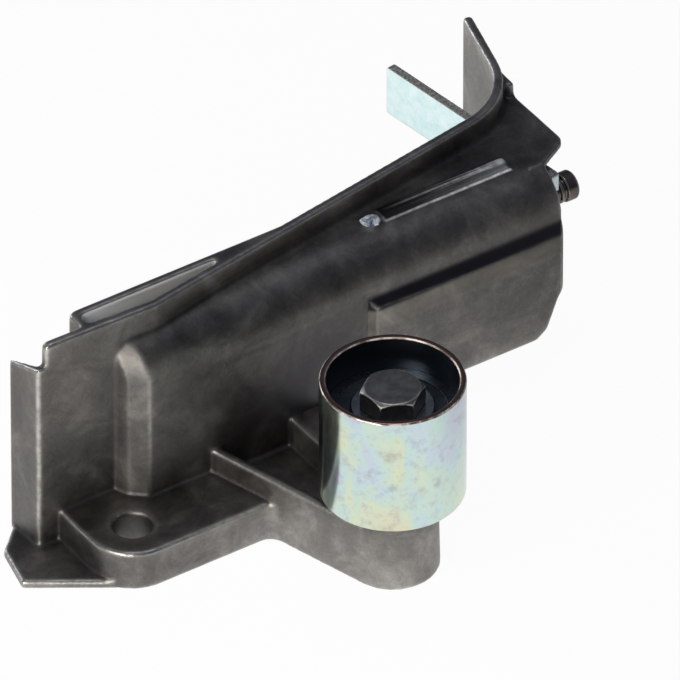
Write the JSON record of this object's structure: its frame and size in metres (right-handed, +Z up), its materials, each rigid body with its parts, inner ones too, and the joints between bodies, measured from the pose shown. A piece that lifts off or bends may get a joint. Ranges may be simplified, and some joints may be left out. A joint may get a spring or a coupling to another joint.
{
  "type": "timing belt tensioner",
  "caption": "Die-cast bracket with a small belt roller on an arm, a belt guard wall and a hydraulic tensioning piston held in by a forked locking plate.",
  "frame": {"origin": "axis of the foot's bolt hole, on the underside of the foot", "axes": "+X along the cylinder block towards the piston, +Y to the back, away from the roller, +Z up along the roller's axis"},
  "size_m": [0.1595, 0.1166, 0.0576],
  "materials": {
    "die_cast_aluminium": "as cast, fine blasted",
    "zinc_plated_steel": "bright passivated zinc",
    "locking_zinc": "zinc plated, sheared edges",
    "bearing_steel": "ground",
    "shield_rubber": "satin",
    "cage_plastic": "moulded",
    "bolt_steel": "phosphated, worn bright on its edges",
    "piston_steel": "turned and hardened",
    "guide_plastic": "filled plastic",
    "spring_steel": "oiled",
    "bush_bronze": "turned",
    "seal_rubber": "moulded"
  },
  "bodies": {
    "housing": {"housing": "die_cast_aluminium", "roller_spacer": "bearing_steel", "bearing_inner_ring": "bearing_steel", "roller_washer": "bearing_steel", "roller_bolt": "bolt_steel", "guide_bush": "bush_bronze", "rod_seal": "seal_rubber", "seal_backing_washer": "bearing_steel", "retaining_ring": "spring_steel", "check_valve_body": "piston_steel", "check_ball": "bearing_steel", "check_ball_cage": "spring_steel", "piston_spring": "spring_steel", "filling_ball": "bearing_steel"},
    "roller": {"roller_sleeve": "zinc_plated_steel", "bearing_outer_ring": "bearing_steel", "bearing_seal_upper": "shield_rubber", "bearing_seal_lower": "shield_rubber"},
    "ball_set": {"bearing_balls_upper": "bearing_steel", "bearing_balls_lower": "bearing_steel", "bearing_cage_upper": "cage_plastic", "bearing_cage_lower": "cage_plastic"},
    "piston": {"piston": "piston_steel", "piston_ring": "guide_plastic"},
    "locking_plate": {"locking_plate": "locking_zinc"}
  },
  "joints": [
    {"name": "roller_spin", "type": "hinge", "parent": "housing", "child": "roller", "pos_m": [0.0478, -0.0328, 0.0363], "axis": [0, 0, 1], "continuous": true},
    {"name": "ball_set_spin", "type": "hinge", "parent": "housing", "child": "ball_set", "pos_m": [0.0478, -0.0328, 0.0363], "axis": [0, 0, 1], "continuous": true},
    {"name": "piston_slide", "type": "slide", "parent": "housing", "child": "piston", "axis": [1, 0, 0], "range_m": [-0.001, 0], "stiffness_N_per_m": 2000, "springref_m": 0.012, "deforming": ["piston_spring"]},
    {"name": "locking_plate_slide", "type": "slide", "parent": "housing", "child": "locking_plate", "axis": [-0.1461, 0.9893, 0], "range_m": [0, 0.014]}
  ],
  "couplings": [
    {"joint": "ball_set_spin", "follows": "roller_spin", "ratio": 0.599}
  ]
}
